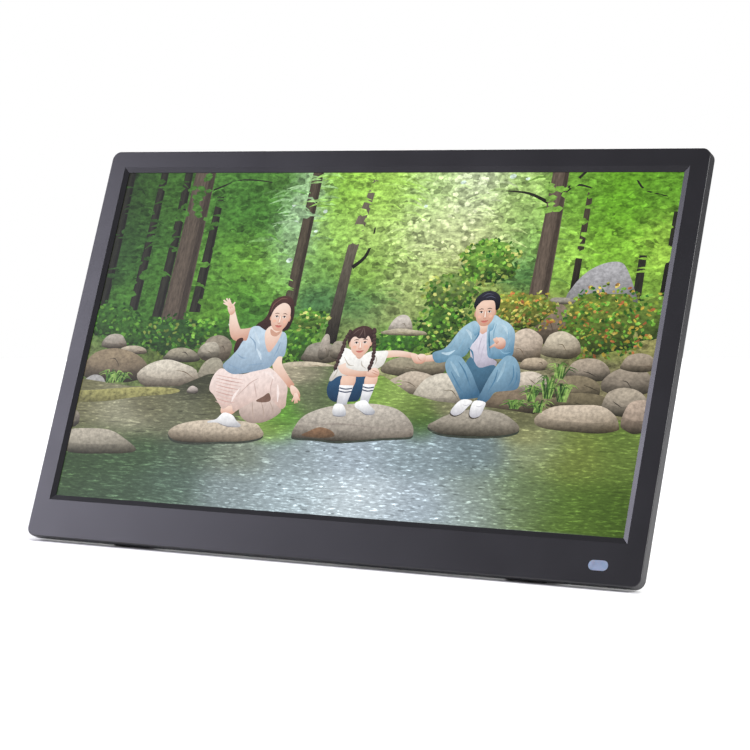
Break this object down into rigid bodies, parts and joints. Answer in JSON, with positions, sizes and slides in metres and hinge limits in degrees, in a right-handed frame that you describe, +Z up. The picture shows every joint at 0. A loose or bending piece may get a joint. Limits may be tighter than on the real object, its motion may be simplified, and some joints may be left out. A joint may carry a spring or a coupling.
{
  "type": "digital photo frame",
  "caption": "Landscape digital photo frame with a wide LCD in a slim bevelled charcoal bezel, a rear housing with buttons and sockets, and a fold-out leg that stands it leaning back.",
  "frame": {"origin": "middle of the object's box, at the table", "axes": "+X to the viewer's right along the frame's width, +Y from the screen to the back, +Z up"},
  "size_m": [0.3708, 0.1218, 0.2164],
  "materials": {
    "charcoal_abs": "satin",
    "cover_abs": "fine texture",
    "button_abs": "satin",
    "window_polycarbonate": "milky",
    "foam": "matte",
    "screen_glass": "semi-gloss, lit picture",
    "black_resin": "matte",
    "clear_acrylic": "clear",
    "diffuser_film": "white",
    "zinc_steel": "zinc plated",
    "circuit_board": "solder mask",
    "flex_film": "glossy",
    "cable_vinyl": "matte",
    "aluminium": "extruded",
    "brass": "turned",
    "rubber": "matte",
    "washer_nylon": "matte",
    "paper_cone": "pressed paper"
  },
  "bodies": {
    "housing": {"front_bezel": "charcoal_abs", "remote_window": "window_polycarbonate", "panel_gasket": "foam", "lcd_cell": "screen_glass", "panel_frame": "black_resin", "optical_films": "diffuser_film", "light_guide": "clear_acrylic", "reflector_sheet": "diffuser_film", "led_strip": "diffuser_film", "panel_back_tray": "zinc_steel", "panel_driver_board": "circuit_board", "panel_flex_tabs": "flex_film", "panel_clips": "zinc_steel", "panel_clip_screws": "zinc_steel", "ir_board": "circuit_board", "ir_receiver": "black_resin", "ir_cable": "cable_vinyl", "rear_cover": "cover_abs", "bottom_feet": "rubber", "wall_mount_inserts": "brass", "case_screws": "zinc_steel", "button_board": "circuit_board", "tact_switches": "zinc_steel", "button_cable": "cable_vinyl", "main_board": "circuit_board", "board_screws": "zinc_steel", "main_processor": "black_resin", "heat_sink": "aluminium", "memory_chips": "black_resin", "capacitors": "aluminium", "inductors": "black_resin", "usb_socket": "zinc_steel", "mini_usb_socket": "zinc_steel", "hdmi_socket": "zinc_steel", "sd_card_socket": "zinc_steel", "headphone_jack": "black_resin", "dc_power_jack": "black_resin", "power_switch_housing": "black_resin", "coin_cell_holder": "black_resin", "coin_cell": "zinc_steel", "speaker_frames": "black_resin", "speaker_cones": "paper_cone", "speaker_magnets": "zinc_steel", "speaker_leads": "cable_vinyl", "display_cable": "flex_film", "backlight_cable": "cable_vinyl", "stand_hinge_bracket": "zinc_steel", "bracket_screws": "zinc_steel", "stand_hinge_pin": "zinc_steel", "friction_washers": "washer_nylon"},
    "stand": {"stand_leg": "cover_abs", "stand_foot_pad": "rubber"},
    "power_switch": {"power_switch_knob": "cover_abs"},
    "button_power": {"button_power": "button_abs"},
    "button_menu": {"button_menu": "button_abs"},
    "button_enter": {"button_enter": "button_abs"},
    "button_left": {"button_left": "button_abs"},
    "button_right": {"button_right": "button_abs"},
    "button_up": {"button_up": "button_abs"},
    "button_down": {"button_down": "button_abs"}
  },
  "joints": [
    {"name": "stand_fold", "type": "hinge", "parent": "housing", "child": "stand", "pos_m": [0, 0.01164, 0.11928], "axis": [1, 0, 0], "range_deg": [-42.9, 0]},
    {"name": "power_switch_slide", "type": "slide", "parent": "housing", "child": "power_switch", "axis": [0, 0.3788, 0.9255], "range_m": [0, 0.0025]},
    {"name": "button_power_press", "type": "slide", "parent": "housing", "child": "button_power", "axis": [0, -0.9255, 0.3788], "range_m": [0, 0.00045], "stiffness_N_per_m": 900, "springref_m": -0.0006},
    {"name": "button_menu_press", "type": "slide", "parent": "housing", "child": "button_menu", "axis": [0, -0.9255, 0.3788], "range_m": [0, 0.00045], "stiffness_N_per_m": 900, "springref_m": -0.0006},
    {"name": "button_enter_press", "type": "slide", "parent": "housing", "child": "button_enter", "axis": [0, -0.9255, 0.3788], "range_m": [0, 0.00045], "stiffness_N_per_m": 900, "springref_m": -0.0006},
    {"name": "button_left_press", "type": "slide", "parent": "housing", "child": "button_left", "axis": [0, -0.9255, 0.3788], "range_m": [0, 0.00045], "stiffness_N_per_m": 900, "springref_m": -0.0006},
    {"name": "button_right_press", "type": "slide", "parent": "housing", "child": "button_right", "axis": [0, -0.9255, 0.3788], "range_m": [0, 0.00045], "stiffness_N_per_m": 900, "springref_m": -0.0006},
    {"name": "button_up_press", "type": "slide", "parent": "housing", "child": "button_up", "axis": [0, -0.9255, 0.3788], "range_m": [0, 0.00045], "stiffness_N_per_m": 900, "springref_m": -0.0006},
    {"name": "button_down_press", "type": "slide", "parent": "housing", "child": "button_down", "axis": [0, -0.9255, 0.3788], "range_m": [0, 0.00045], "stiffness_N_per_m": 900, "springref_m": -0.0006}
  ]
}
